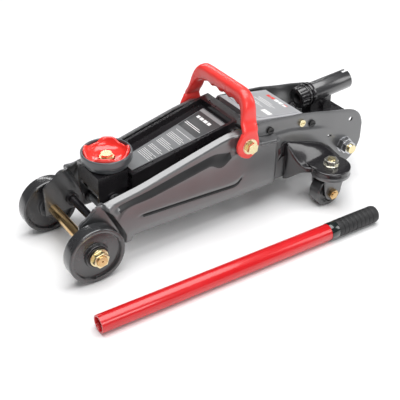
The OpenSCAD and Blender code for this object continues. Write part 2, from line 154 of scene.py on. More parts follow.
def mixc(nt, fac, a, b, mode="MIX"):
    m = nt.nodes.new("ShaderNodeMix")
    m.data_type = "RGBA"
    m.blend_type = mode
    if isinstance(fac, (int, float)):
        m.inputs[0].default_value = fac
    else:
        nt.links.new(fac, m.inputs[0])
    for k, v in ((6, a), (7, b)):
        if isinstance(v, tuple):
            m.inputs[k].default_value = (v[0], v[1], v[2], 1)
        else:
            nt.links.new(v, m.inputs[k])
    return m.outputs[2]


def maprange(nt, v, a, b, c, d):
    m = nt.nodes.new("ShaderNodeMapRange")
    nt.links.new(v, m.inputs[0])
    for i, x in enumerate((a, b, c, d)):
        m.inputs[1 + i].default_value = x
    return m.outputs[0]


def bump(nt, b, layers):
    """layers: (height output, strength, distance in metres)"""
    last = None
    for h, s, d in layers:
        n = nt.nodes.new("ShaderNodeBump")
        n.inputs["Strength"].default_value = s
        n.inputs["Distance"].default_value = d
        nt.links.new(h, n.inputs["Height"])
        if last is not None:
            nt.links.new(last, n.inputs["Normal"])
        last = n.outputs[0]
    nt.links.new(last, b.inputs["Normal"])


def paint(name, col, col2, rough, coat=0.6, coat_rough=0.08, peel=0.05, dust=0.25, wear=None, ior=1.5):
    """Stove enamel: orange peel, faint mottling, dust in a fine speckle, bare metal on edges where wear is set."""
    m, nt, b = new_mat(name)
    v = tex_coord(nt)
    n1 = noise(nt, v, 22, 5, 0.6)
    n2 = noise(nt, v, 900, 2, 0.5)
    n3 = noise(nt, v, 210, 3, 0.55)
    base = mixc(nt, ramp(nt, n1, [(0.32, 0.0), (0.72, 1.0)]), col, col2)
    sp = ramp(nt, n2, [(0.66, 0.0), (0.74, 1.0)])
    spd = nt.nodes.new("ShaderNodeMath")
    spd.operation = "MULTIPLY"
    nt.links.new(sp, spd.inputs[0])
    spd.inputs[1].default_value = dust * 0.25
    base = mixc(nt, spd.outputs[0], base, tuple(min(1, c * 2.2 + 0.04) for c in col2))
    if wear:
        geo = nt.nodes.new("ShaderNodeNewGeometry")
        pr = ramp(nt, geo.outputs["Pointiness"], [(0.53, 0.0), (0.58, 1.0)])
        w = nt.nodes.new("ShaderNodeMath")
        w.operation = "MULTIPLY"
        nt.links.new(pr, w.inputs[0])
        nt.links.new(ramp(nt, n3, [(0.45, 0.0), (0.62, 1.0)]), w.inputs[1])
        w2 = nt.nodes.new("ShaderNodeMath")
        w2.operation = "MULTIPLY"
        nt.links.new(w.outputs[0], w2.inputs[0])
        w2.inputs[1].default_value = wear
        base = mixc(nt, w2.outputs[0], base, (0.42, 0.42, 0.43))
    nt.links.new(base, b.inputs["Base Color"])
    nt.links.new(maprange(nt, n1, 0.3, 0.75, rough * 0.85, rough * 1.25), b.inputs["Roughness"])
    b.inputs["IOR"].default_value = ior
    b.inputs["Coat Weight"].default_value = coat
    b.inputs["Coat Roughness"].default_value = coat_rough
    bump(nt, b, [(n3, peel, 0.00012), (n1, peel * 0.5, 0.0003)])
    return m


def metal(name, col, col2, rough, brush=(1, 1, 1), scale=160, peel=0.08, aniso=0.0):
    m, nt, b = new_mat(name)
    v = tex_coord(nt, brush)
    n1 = noise(nt, v, 60, 5, 0.6)
    n2 = noise(nt, v, scale * 4, 4, 0.6)
    v0 = tex_coord(nt)
    n3 = noise(nt, v0, 95, 4, 0.6, 0.6)
    base = mixc(nt, ramp(nt, n3, [(0.3, 0.0), (0.7, 1.0)]), col, col2)
    base = mixc(nt, ramp(nt, n2, [(0.35, 0.25), (0.7, 0.0)]), base, tuple(c * 0.55 for c in col))
    nt.links.new(base, b.inputs["Base Color"])
    b.inputs["Metallic"].default_value = 1.0
    if aniso:
        b.inputs["Anisotropic"].default_value = aniso
    nt.links.new(maprange(nt, n1, 0.3, 0.7, rough * 0.75, rough * 1.35), b.inputs["Roughness"])
    bump(nt, b, [(n2, peel, 0.0001), (n3, peel * 0.6, 0.0002)])
    return m


def plastic(name, col, col2, rough, grain=0.12, scale=1500, coat=0.15, sss=0.0):
    m, nt, b = new_mat(name)
    v = tex_coord(nt)
    n1 = noise(nt, v, 30, 4, 0.55)
    n2 = noise(nt, v, scale, 3, 0.55)
    base = mixc(nt, ramp(nt, n1, [(0.3, 0.0), (0.72, 1.0)]), col, col2)
    nt.links.new(base, b.inputs["Base Color"])
    nt.links.new(maprange(nt, n1, 0.3, 0.7, rough * 0.85, rough * 1.2), b.inputs["Roughness"])
    b.inputs["Coat Weight"].default_value = coat
    b.inputs["Coat Roughness"].default_value = 0.2
    if sss:
        b.inputs["Subsurface Weight"].default_value = sss
        b.inputs["Subsurface Scale"].default_value = 0.002
    bump(nt, b, [(n2, grain, 0.00015), (n1, grain * 0.3, 0.0008)])
    return m


M = {}
M["black_paint"] = paint("black_paint", (0.044, 0.045, 0.047), (0.056, 0.057, 0.060), 0.33, 0.3, 0.16, 0.04, 0.3, 0.25, 2.15)
M["arm_black"] = paint("arm_black", (0.010, 0.0085, 0.010), (0.016, 0.014, 0.016), 0.28, 0.7, 0.06, 0.03, 0.10)
# painted shade: a matte near-black material for the faces of the pressed band and groove of the side plates, where
# shade falls
M["recess_painted_shade"] = paint("recess_painted_shade", (0.010, 0.010, 0.0105), (0.015, 0.015, 0.016), 0.42, 0.1, 0.3, 0.03, 0.2)
M["bracket_black"] = paint("bracket_black", (0.010, 0.009, 0.0105), (0.014, 0.0125, 0.0145), 0.24, 0.7, 0.07, 0.03, 0.15)
M["socket_black"] = paint("socket_black", (0.020, 0.020, 0.021), (0.028, 0.028, 0.030), 0.30, 0.6, 0.10, 0.03, 0.2, None, 1.8)
M["cover_grey"] = paint("cover_grey", (0.37, 0.375, 0.39), (0.43, 0.435, 0.45), 0.36, 0.4, 0.12, 0.04, 0.1)
M["wheel_paint"] = paint("wheel_paint", (0.022, 0.022, 0.023), (0.032, 0.032, 0.034), 0.27, 0.6, 0.10, 0.04, 0.4, 0.3, 1.7)
M["cup_grey"] = paint("cup_grey", (0.050, 0.055, 0.060), (0.08, 0.086, 0.092), 0.33, 0.5, 0.1, 0.08, 0.3, 0.4)
M["red_paint"] = paint("red_paint", (0.60, 0.0035, 0.007), (0.66, 0.005, 0.010), 0.32, 0.5, 0.08, 0.02, 0.03)
M["yellow_zinc"] = metal("yellow_zinc", (0.83, 0.70, 0.38), (0.88, 0.80, 0.56), 0.24)
M["pale_zinc"] = metal("pale_zinc", (0.80, 0.78, 0.66), (0.90, 0.88, 0.80), 0.22)
M["axle_copper"] = metal("axle_copper", (0.72, 0.47, 0.22), (0.80, 0.58, 0.30), 0.24, (1, 0.05, 1))
M["black_oxide"] = metal("black_oxide", (0.05, 0.05, 0.052), (0.08, 0.078, 0.076), 0.38)
M["steel"] = metal("steel", (0.50, 0.51, 0.53), (0.62, 0.62, 0.63), 0.30)
M["ground_steel"] = metal("ground_steel", (0.72, 0.73, 0.75), (0.78, 0.79, 0.80), 0.12, (0.05, 1, 1), 260, 0.05)
M["cast_iron"] = paint("cast_iron", (0.045, 0.046, 0.048), (0.075, 0.075, 0.077), 0.5, 0.1, 0.3, 0.35, 0.4)
M["red_plastic"] = plastic("red_plastic", (0.85, 0.040, 0.035), (0.90, 0.060, 0.050), 0.30, 0.10, 1400, 0.35, 0.0)
M["pad_red"] = plastic("pad_red", (0.80, 0.022, 0.018), (0.88, 0.05, 0.035), 0.22, 0.08, 900, 0.7, 0.0)
M["grip_rubber"] = plastic("grip_rubber", (0.014, 0.014, 0.015), (0.026, 0.026, 0.027), 0.62, 0.35, 1100, 0.0)
def rubber():
    m = plastic("grip_rubber_knurled", (0.012, 0.012, 0.013), (0.022, 0.022, 0.023), 0.55, 0.3, 1100, 0.0)
    nt = m.node_tree
    b = nt.nodes["Principled BSDF"]
    v = tex_coord(nt)
    vo = nt.nodes.new("ShaderNodeTexVoronoi")
    vo.feature = "DISTANCE_TO_EDGE"
    vo.inputs["Scale"].default_value = 420
    vo.inputs["Randomness"].default_value = 0.15
    nt.links.new(v, vo.inputs["Vector"])
    bp = nt.nodes.new("ShaderNodeBump")
    bp.inputs["Strength"].default_value = 0.6
    bp.inputs["Distance"].default_value = 0.0006
    nt.links.new(vo.outputs["Distance"], bp.inputs["Height"])
    old = b.inputs["Normal"].links[0].from_socket
    nt.links.new(old, bp.inputs["Normal"])
    nt.links.new(bp.outputs[0], b.inputs["Normal"])
    return m


M["grip_rubber"] = rubber()
M["collar_black"] = plastic("collar_black", (0.006, 0.011, 0.010), (0.010, 0.018, 0.017), 0.12, 0.03, 500, 0.9)
M["label_grey"] = plastic("label_grey", (0.17, 0.175, 0.18), (0.20, 0.205, 0.21), 0.34, 0.05, 700, 0.3)
M["label_white"] = plastic("label_white", (0.80, 0.80, 0.79), (0.86, 0.86, 0.85), 0.4, 0.05, 700, 0.1)
M["label_pale"] = plastic("label_pale", (0.30, 0.305, 0.31), (0.34, 0.345, 0.35), 0.34, 0.05, 700, 0.3)
M["label_dark"] = plastic("label_dark", (0.052, 0.053, 0.055), (0.066, 0.067, 0.069), 0.34, 0.05, 700, 0.3)
M["label_silver"] = plastic("label_silver", (0.33, 0.335, 0.345), (0.37, 0.375, 0.385), 0.36, 0.05, 700, 0.25)
M["washer_cream"] = metal("washer_cream", (0.86, 0.84, 0.70), (0.92, 0.90, 0.80), 0.3)
M["label_red"] = plastic("label_red", (0.72, 0.05, 0.04), (0.78, 0.07, 0.05), 0.4, 0.05, 700, 0.1)

M["plate_paint"] = paint("plate_paint", (0.050, 0.051, 0.053), (0.062, 0.063, 0.066), 0.33, 0.3, 0.16, 0.04, 0.3, 0.25, 2.15)
# painted shade: a per-vertex weight darkens the plate's base colour to near-black in the pressed band and groove, and
# adds roughness there
nt = M["plate_paint"].node_tree
b = nt.nodes["Principled BSDF"]
at = nt.nodes.new("ShaderNodeAttribute")
at.attribute_name = "recess_shade"
col = b.inputs["Base Color"].links[0].from_socket
nt.links.new(mixc(nt, at.outputs["Fac"], col, (0.004, 0.004, 0.0045)), b.inputs["Base Color"])
ro = b.inputs["Roughness"].links[0].from_socket
mx = nt.nodes.new("ShaderNodeMapRange")
nt.links.new(at.outputs["Fac"], mx.inputs[0])
mx.inputs[3].default_value = 0.0
mx.inputs[4].default_value = 0.35
ad = nt.nodes.new("ShaderNodeMath")
ad.operation = "ADD"
nt.links.new(ro, ad.inputs[0])
nt.links.new(mx.outputs[0], ad.inputs[1])
nt.links.new(ad.outputs[0], b.inputs["Roughness"])

fl, nt, b = new_mat("floor")
v = tex_coord(nt)
nn = noise(nt, v, 3.0, 3, 0.5)
nt.links.new(mixc(nt, ramp(nt, nn, [(0.3, 0.0), (0.7, 1.0)]), (0.86, 0.86, 0.865), (0.89, 0.89, 0.89)), b.inputs["Base Color"])
b.inputs["Roughness"].default_value = 0.55
fm.materials.append(fl)

slots = {sp["node"]: sp["material_slot"] for sp in frame["record"]["subparts"]}
override = {"handle_socket": "socket_black", "saddle_bracket": "bracket_black", "caster_bracket_left": "bracket_black", "caster_bracket_right": "bracket_black",
            "handle_yoke": "bracket_black", "socket_collar": "bracket_black", "saddle_cup": "cup_grey", "saddle_pad": "pad_red",
            "yoke_pivot_nuts": "steel", "kingpin_nuts": "pale_zinc", "front_tie_rod": "bracket_black"}
for name, ob in N.items():
    mt = M[override.get(name, slots[name])]
    ob.data.materials.clear()
    ob.data.materials.append(mt)
    for p in ob.data.polygons:
        p.material_index = 0


# ------------------------------------------------------------------ mesh helpers
def S(t):
    t = np.clip(t, 0, 1)
    return t * t * (3 - 2 * t)


def obj_from(name, verts, faces, mat, body, reps=(), smooth=True, normals=True):
    me = bpy.data.meshes.new(name)
    me.from_pydata([tuple(v) for v in verts], [], [tuple(f) for f in faces])
    me.update()
    if normals:
        b2 = bmesh.new()
        b2.from_mesh(me)
        bmesh.ops.recalc_face_normals(b2, faces=b2.faces)
        b2.to_mesh(me)
        b2.free()
    if smooth:
        me.polygons.foreach_set("use_smooth", [True] * len(me.polygons))
    me.materials.append(mat)
    ob = bpy.data.objects.new(name, me)
    scene.collection.objects.link(ob)
    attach(ob, body)
    if reps:
        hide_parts(*reps)
    return ob


def sharp(ob, deg=35):
    """Smooth shading with edges kept sharp above the angle."""
    me = ob.data
    b2 = bmesh.new()
    b2.from_mesh(me)
    for e in b2.edges:
        e.smooth = not (len(e.link_faces) == 2 and e.calc_face_angle(0) > math.radians(deg))
    b2.to_mesh(me)
    b2.free()
    me.polygons.foreach_set("use_smooth", [True] * len(me.polygons))


def bevel(ob, w, seg=2, ang=32):
    m = ob.modifiers.new("bevel", "BEVEL")
    m.width = w
    m.segments = seg
    m.limit_method = "ANGLE"
    m.angle_limit = math.radians(ang)
    m.use_clamp_overlap = True
    m.harden_normals = False
    m.miter_outer = "MITER_ARC"
    return m


def soften_cad(name, w=0.0005, seg=2, ang=32):
    """A CAD node keeps its mesh; its edges are rounded by modifiers."""
    ob = N[name]
    wd = ob.modifiers.new("weld", "WELD")
    wd.merge_threshold = 2e-6
    bevel(ob, w, seg, ang)


def grid_faces(nu, nv, wrap_u=False, wrap_v=False, base=0):
    f = []
    for i in range(nu if wrap_u else nu - 1):
        for j in range(nv if wrap_v else nv - 1):
            a = base + i * nv + j
            b_ = base + ((i + 1) % nu) * nv + j
            c = base + ((i + 1) % nu) * nv + (j + 1) % nv
            d = base + i * nv + (j + 1) % nv
            f.append((a, b_, c, d))
    return f


def lathe(profile, n=96, axis="y", centre=(0, 0, 0), rfun=None):
    """profile: closed loop of (r, t) in mm, t along the axis. Returns verts (frame metres) and faces."""
    V = []
    for i in range(n):
        a = 2 * math.pi * i / n
        for (r, t) in profile:
            rr = rfun(r, t, a) if rfun else r
            c, s = rr * math.cos(a), rr * math.sin(a)
            if axis == "y":
                p = (centre[0] + c, centre[1] + t, centre[2] + s)
            elif axis == "z":
                p = (centre[0] + c, centre[1] + s, centre[2] + t)
            else:
                p = (centre[0] + t, centre[1] + c, centre[2] + s)
            V.append(J(*p))
    return V, grid_faces(n, len(profile), True, True)


def round_profile(pts, r=0.6, k=3):
    """Rounds the corners of a closed (r, t) loop; a point may carry its own radius as a third number."""
    out = []
    n = len(pts)
    for i in range(n):
        p0, p1, p2 = pts[i - 1], pts[i], pts[(i + 1) % n]
        rr = p1[2] if len(p1) > 2 else r
        a = np.array(p0[:2], float) - np.array(p1[:2], float)
        c = np.array(p2[:2], float) - np.array(p1[:2], float)
        la, lc = np.linalg.norm(a), np.linalg.norm(c)
        d = min(rr, la * 0.45, lc * 0.45)
        if d < 1e-6:
            out.append(tuple(p1[:2]))
            continue
        s, e, m = np.array(p1[:2]) + a / la * d, np.array(p1[:2]) + c / lc * d, np.array(p1[:2], float)
        for j in range(k + 1):
            t = j / k
            out.append(tuple((1 - t) ** 2 * s + 2 * t * (1 - t) * m + t * t * e))
    return out


# ------------------------------------------------------------------ side plates
def pl(pts, x):
    xs = [p[0] for p in pts]
    ys = [p[1] for p in pts]
    return float(np.interp(x, xs, ys))


FL = [(36, 40), (43, 39), (50, 36), (66, 28), (76, 23), (83.5, 19)]
TOP = [(-10.5, 66), (-9.2, 69), (-6.5, 71.6), (-2, 73.2), (19, 83.5), (26, 86.2), (40, 88.8), (66, 94.5), (92, 101.5), (138, 113),
       (175, 122), (190, 124.8), (203, 125.6), (215, 123), (221, 119.4), (226, 114.4), (230, 109.6), (234, 106.2), (240, 104.4), (270, 101.8)]
BOT = [(-10.5, 29), (41, 29), (45, 36), (270, 36)]
BANDL = [(25, 54), (34, 62), (39, 71), (46, 76), (56, 78.8), (76, 79.9), (116.5, 87), (150, 93.2), (160, 95.0), (165, 92.5), (170, 88.6),
         (176, 87.2), (181, 89.2), (186, 93.6), (192, 97.5), (200, 99), (270, 95)]
BANDU = [(25, 62), (34, 72), (40, 79.5), (47, 83.0), (52, 84.3), (76, 89.2), (116.5, 98), (158, 106), (168, 107.2), (178, 105.4), (186, 103.4),
         (192, 103.4), (200, 105), (214, 106), (228, 102), (270, 98)]
GRV = [(-20, 61), (62, 60.4), (68, 60), (145, 57), (195, 54.9), (201, 56.6), (205.5, 62), (210, 64), (270, 62)]
T = 2.5


def smooth_pl(pts, x, w=2.5):
    return sum(pl(pts, x + d) for d in (-w, -w / 2, 0, w / 2, w)) / 5


def plate_point(s, row):
    """One point of the outer skin; row is (guide index, fraction)."""
    b0, t0 = smooth_pl(BOT, s, 0.6), smooth_pl(TOP, s, 1.2)
    fade = S((s - 30) / 12)
    g = [b0, 44.0, smooth_pl(GRV, s, 1.5) - 2.3, smooth_pl(GRV, s, 1.5), smooth_pl(GRV, s, 1.5) + 2.3, smooth_pl(BANDL, s), smooth_pl(BANDU, s), t0]
    # in the front section the rows are spread evenly
    ev = [b0 + (t0 - b0) * k / 7 for k in range(8)]
    g = [e + (q - e) * fade for e, q in zip(ev, g)]
    i, f = row
    z = g[i] + (g[i + 1] - g[i]) * f
    # outer skin level
    gr = S((s - 60) / 9) * (1 - S((s - 205) / 3))          # groove strength
    br = S((s - 34) / 10) * (1 - S((s - 192) / 14))        # raised panel strength
    lv = [54.4, 57.0, 57.0, 57.0 - 2.6 * gr, 57.0, 57.0, 57.0 - 3.7 * br, 57.0 - 3.5 * br]
    y = lv[i] + (lv[i + 1] - lv[i]) * (S(f) if i in (2, 3, 5) else f)
    # step outwards behind the front wheel
    k = S((s - 29.5) / 5.0)
    y = 46.5 + (y - 46.5) * k
    B = S((s + 10.5) / 38) * (1 - S((s - 35) / 50))
    X = s + B * (pl(FL, z) - 30)
    # curl at the rear end
    if s > 256:
        a = min(1, (s - 256) / 8.0) * math.pi / 2
        X = 256 + 8.5 * math.sin(a)
        y = y - (y - 45.6) * (1 - math.cos(a))
    return X, y, z


def plate_main():
    cols = list(np.arange(-10.5, 29, 2.6)) + [29.5, 30.5, 31.4, 32.3, 33.2, 34.5] + list(np.arange(36.5, 256, 2.1)) + \
        [256 + 8.0 * k / 7 for k in range(0, 8)]
    rows = [(0, k / 4) for k in range(4)] + [(1, k / 5) for k in range(5)] + [(2, k / 4) for k in range(4)] + \
        [(3, k / 4) for k in range(4)] + [(4, k / 9) for k in range(9)] + [(5, k / 7) for k in range(7)] + [(6, k / 6) for k in range(6)] + [(6, 1.0)]
    V = []
    for s in cols:
        c = [plate_point(s, r) for r in rows]
        kf = S((s - 24) / 8.0)                                  # flange grows out of the front section
        x0, y0, z0 = c[0]
        x1, y1, z1 = c[-1]
        wb = (y0 - 42.5) * kf
        lo = []
        rb = 3.0 * kf
        for k in range(1, 5):
            a = k / 4 * math.pi / 2
            lo.append((x0, y0 - rb * (1 - math.cos(a)), z0 - 0.02 * k - rb * 0.0 + (-rb) * (math.sin(a)) * 0.45))
        zl = lo[-1][2]
        for k in range(1, 4):
            lo.append((x0, lo[3][1] - max(0.05 * k, (wb - rb) * k / 3), zl - 0.01 * k))
        hi = []
        rt = 3.2 * kf
        wt = max(0.0, (y1 - 46.6)) * kf
        tilt = 2.3 * kf
        for k in range(1, 6):
            a = k / 5 * math.pi / 2
            hi.append((x1, y1 - rt * (1 - math.cos(a)), z1 - tilt - rt + 0.01 * k + rt * math.sin(a)))
        for k in range(1, 4):
            hi.append((x1, hi[4][1] - max(0.05 * k, (wt - rt) * k / 3), z1 - tilt + tilt * k / 3))
        # pull the top row down by the bend radius
        c2 = list(c)
        n6 = 7
        for q in range(1, n6 + 1):
            x_, y_, z_ = c2[-q]
            c2[-q] = (x_, y_, z_ - (rt + tilt) * (1 - (q - 1) / n6))
        V.append(list(reversed(lo)) + c2 + hi)
    return V


def tube_sheet(V, sgn):
    nu, nv = len(V), len(V[0])
    verts = [J(x, sgn * -1 * y if sgn > 0 else y, z) for col in V for (x, y, z) in col]
    return verts, grid_faces(nu, nv)


def make_sheet(name, V, side, mat, thick, body, reps=(), bev=0.5, flip=False, even=False):
    """side -1 is the left, at -Y."""
    verts = [J(x, side * y, z) for col in V for (x, y, z) in col]
    faces = grid_faces(len(V), len(V[0]))
    if (side > 0) != flip:
        faces = [tuple(reversed(f)) for f in faces]
    ob = obj_from(name, verts, faces, mat, body, reps, normals=False)
    so = ob.modifiers.new("thick", "SOLIDIFY")
    so.thickness = thick / 1000
    so.offset = -1.0
    so.use_even_offset = even
    so.use_quality_normals = True
    if bev:
        bevel(ob, bev / 1000, 2, 50)
    return ob


VM = plate_main()
# guide index of each row of faces: 7 rows of the bottom flange come first
_g = [0] * 4 + [1] * 5 + [2] * 4 + [3] * 4 + [4] * 9 + [5] * 7 + [6] * 6
MAIN_ROWS = [-1] * 7 + _g + [-1] * (len(VM[0]) - 1 - 7 - len(_g))


def recess_shade_of(x, y, z):
    """0 on the open faces, 1 in the pressed recesses; this weight is painted shade, darkening the base colour to
    near-black and raising the roughness there.
    """
    a = 0.0
    lo, hi = smooth_pl(BANDL, x), smooth_pl(BANDU, x)
    if 30 < x < 196:
        m = (z - lo) / max(2.0, hi - lo)
        a = max(a, S((m + 0.05) / 0.22) * (1 - S((m - 0.80) / 0.25)) * S((x - 30) / 8) * (1 - S((x - 186) / 10)))
    if 58 < x < 208:
        d = abs(z - smooth_pl(GRV, x, 1.5))
        a = max(a, (1 - S((d - 0.9) / 1.4)) * S((x - 60) / 9) * (1 - S((x - 205) / 3)))
    return float(a)


# per-vertex weight of painted shade in the recesses of the side plate
RECESS_SHADE = [recess_shade_of(x, y, z) for col in VM for (x, y, z) in col]

BOTR = [(229, 36), (281, 33), (330, 29), (372, 21.4), (380, 19.6), (386, 19.4), (391, 20.8), (396, 23.6), (400, 27), (404, 31.4), (407, 36), (409, 41), (410, 46)]
TOPR = [(229, 110), (238, 122.2), (242, 122.4), (307, 116), (384, 100.8), (391, 98.6), (396, 96), (400.5, 92.8), (404.5, 88.6), (407.5, 83.6), (410, 77)]
STEP = [(229, 98.6), (244, 98), (288, 95.7), (338, 84.6), (352, 79.5), (366, 73), (410, 60)]


def plate_rear():
    cols = list(np.arange(229, 384, 2.4)) + list(np.arange(384, 404, 1.6)) + [404, 405.4, 406.6, 407.6, 408.4, 409.1, 409.6, 410]
    rows = [(0, k / 12) for k in range(12)] + [(1, k / 6) for k in range(6)] + [(2, k / 8) for k in range(8)] + [(2, 1.0)]
    V = []
    for s in cols:
        b0, t0 = pl(BOTR, s), pl(TOPR, s)
        st = min(smooth_pl(STEP, s, 4), t0 - 9)
        st = max(st, b0 + 8)
        k = 1 - S((s - 330) / 34)
        su = min(st + 7.5, t0 - 2)
        g = [b0, st, su, t0]
        lv = [47.2, 47.2, 47.2 - 2.2 * k, 47.2 - 2.2 * k]
        # lower edge turned slightly inwards
        c = []
        for (i, f) in rows:
            z = g[i] + (g[i + 1] - g[i]) * f
            y = lv[i] + (lv[i + 1] - lv[i]) * (S(f) if i == 1 else f)
            y -= 1.6 * (1 - S((z - b0) / 6.0))
            y -= 0.9 * S((z - t0 + 3.5) / 3.5)
            c.append((s, y, z))
        V.append(c)
    return V


VR = plate_rear()


def cut(ob, cutters):
    """Subtracts small prisms from a piece and keeps the result as its mesh."""
    for cu in cutters:
        m = ob.modifiers.new("cut", "BOOLEAN")
        m.operation = "DIFFERENCE"
        m.solver = "EXACT"
        m.object = cu
    bpy.context.view_layer.update()
    dg = bpy.context.evaluated_depsgraph_get()
    me = bpy.data.meshes.new_from_object(ob.evaluated_get(dg), depsgraph=dg)
    ob.modifiers.clear()
    old = ob.data
    ob.data = me
    bpy.data.meshes.remove(old)
    for cu in cutters:
        bpy.data.objects.remove(cu)


def prism(points, y0, y1):
    """Closed prism along Y; points are (X, z) in jack millimetres."""
    n = len(points)
    V = [J(x, y0, z) for x, z in points] + [J(x, y1, z) for x, z in points]
    F = [tuple(range(n)), tuple(reversed(range(n, 2 * n)))] + [(i, i + n, (i + 1) % n + n, (i + 1) % n) for i in range(n)]
    me = bpy.data.meshes.new("cutter")
    me.from_pydata(V, [], F)
    b2 = bmesh.new()
    b2.from_mesh(me)
    bmesh.ops.recalc_face_normals(b2, faces=b2.faces)
    b2.to_mesh(me)
    b2.free()
    ob = bpy.data.objects.new("cutter", me)
    scene.collection.objects.link(ob)
    return ob


def circ(cx, cz, r, n=28):
    return [(cx + r * math.cos(2 * math.pi * i / n), cz + r * math.sin(2 * math.pi * i / n)) for i in range(n)]


for side, tag in ((-1, "left"), (1, "right")):
    main = make_sheet("side_plate_main_" + tag, VM, side, M["plate_paint"], T, "chassis", ("side_plate_" + tag,), 0.45)
    rear = make_sheet("side_plate_rear_" + tag, VR, side, M["black_paint"], T, "chassis", (), 0.0)
    # painted shade: the band and groove faces get the near-black second material, and the vertices carry the weight
    # that darkens the plate paint
    main.data.materials.append(M["recess_painted_shade"])
    nr = len(VM[0]) - 1
    for fi, p in enumerate(main.data.polygons):
        ci, rj = divmod(fi, nr)
        gi = MAIN_ROWS[rj]
        xm = VM[ci][rj][0]
        if (gi == 5 and 36 < xm < 188) or (gi in (2, 3) and 66 < xm < 206):
            p.material_index = 1
    at = main.data.attributes.new("recess_shade", "FLOAT", "POINT")
    at.data.foreach_set("value", RECESS_SHADE)
    y0, y1 = sorted((side * 40, side * 52))
    cut(rear, [prism(circ(388.8, 85.2, 3.2), y0, y1), prism([(350.6, 70.2), (357.2, 68.9), (357.9, 71.3), (351.2, 72.7)], y0, y1)])
    sharp(rear, 30)
    bevel(rear, 0.0004, 2, 45)


# ------------------------------------------------------------------ carry handle
PX, PZ = 210.0, 110.0


def sweep(name, stations, mat, body, reps=(), k=36, caps=True):
    """stations: (centre, axis a, axis b, half a, half b, exponent)"""
    V, F = [], []
    for (c, a, b_, ha, hb, ex) in stations:
        c, a, b_ = Vector(c), Vector(a), Vector(b_)
        for j in range(k):
            t = 2 * math.pi * j / k
            ca, sa = math.cos(t), math.sin(t)
            u = math.copysign(abs(ca) ** (2 / ex), ca) * ha
            w = math.copysign(abs(sa) ** (2 / ex), sa) * hb
            p = c + a * u + b_ * w
            V.append(J(p.x, p.y, p.z))
    n = len(stations)
    F = [(i * k + j, i * k + (j + 1) % k, (i + 1) * k + (j + 1) % k, (i + 1) * k + j) for i in range(n - 1) for j in range(k)]
    if caps:
        F += [tuple(range(k)), tuple(range((n - 1) * k, n * k))]
    return obj_from(name, V, F, mat, body, reps)


def handle_half(sg):
    st = []
    X_, B_ = (1, 0, 0), Vector((0, 1, 0))
    # ear: slices of a circle of radius 13, then the leg
    zs = [PZ - 15.9, PZ - 15.5, PZ - 14.6, PZ - 13.0, PZ - 10.6, PZ - 7.2, PZ - 3, PZ + 1.5, PZ + 5, PZ + 8, PZ + 11, PZ + 14, PZ + 16.6]
    for z in zs:
        d = z - PZ
        r = math.sqrt(max(0.3, 256 - d * d))
        leg = 15.2 - 4.2 * S((d - 4) / 14)
        hx = r if d < 4 else min(max(leg, 11.0), 16)
        cx = PX - 0.8 + 2.6 * S((d - 2) / 24)
        th = 3.7 - 0.1 * S((d - 10) / 15)
        st.append(((cx, sg * 61.9, z), X_, (0, sg, 0), hx, th, 3.6 if d < 10 else 3.2))
    # leg leaning inwards, then the bend into the grip
    cl = [(61.9, 126.6), (61.3, 129.5), (59.4, 133), (57.0, 137), (55.3, 141.5), (54.0, 146), (52.4, 151.3), (49.8, 156.2), (46.0, 160.2), (41.4, 162.8), (37.5, 163.5)]
    P = []
    for i in range(len(cl) - 1):
        for k in range(3):
            t = k / 3
            p0, p1, p2, p3 = [np.array(cl[min(max(i + q, 0), len(cl) - 1)], float) for q in (-1, 0, 1, 2)]
            P.append(0.5 * ((2 * p1) + (p2 - p0) * t + (2 * p0 - 5 * p1 + 4 * p2 - p3) * t * t + (3 * p1 - p0 - 3 * p2 + p3) * t ** 3))
    P.append(np.array(cl[-1], float))
    for i, (y, z) in enumerate(P):
        if i == 0:
            continue
        d = P[min(i + 1, len(P) - 1)] - P[i - 1]
        d = d / np.linalg.norm(d)
        f = i / (len(P) - 1)
        f2 = S((f - 0.25) / 0.75)
        st.append(((PX + 1.8 + 5.0 * S(f), sg * y, z), X_, (0, sg * d[1], -d[0]), 10.9 - 2.8 * f2, 3.6 + 7.1 * f2 ** 1.5, 3.0 - 0.2 * f2))
    return st


st = handle_half(-1)
ys = np.linspace(-36.0, 36.0, 38)
for y in ys:
    # finger scallops underneath
    sc = 0.0
    for c in (-26, -9, 9, 26):
        sc = max(sc, 1 - ((y - c) / 9.0) ** 2) if abs(y - c) < 9 else sc
    sc *= 3.3
    top, bot = 174.4, 152.6 + sc
    st.append(((PX + 6.8, y, (top + bot) / 2), (1, 0, 0), (0, 0, 1), 8.1, (top - bot) / 2, 2.8))
rt = handle_half(1)
rt.reverse()
# the second half is walked downwards, so its second axis is kept pointing outwards from the arch
st2 = []
for (c, a, b_, ha, hb, ex) in rt:
    st2.append((c, a, b_, ha, hb, ex))
lst = [(c, a, (Vector(b_) if i < 24 else Vector(b_)), ha, hb, ex) for i, (c, a, b_, ha, hb, ex) in enumerate(st)]
hd = sweep("carry_handle_moulding", [(c, a, b_, ha, hb, ex) for (c, a, b_, ha, hb, ex) in lst + st2], M["red_plastic"], "bail", ("carry_handle",))
y_a, y_b = -70, 70
cut(hd, [prism(circ(PX, PZ, 4.6), y_a, y_b)])
sharp(hd, 40)
for sg, tag in ((-1, "left"), (1, "right")):
    prof = round_profile([(9.9, 64.9), (9.9, 65.75), (5.0, 65.75), (5.0, 64.9)], 0.35, 2)
    V, F = lathe([(r, sg * t) for r, t in prof], 64, "y", (PX, 0, PZ))
    obj_from("carry_handle_washer_" + tag, V, F, M["washer_cream"], "bail", ())


# ------------------------------------------------------------------ printed marks
def topz(x):
    return 101.8 + (x - 70) * 0.2221


def coverz(x):
    return 124.4 - (x - 238) * 0.166


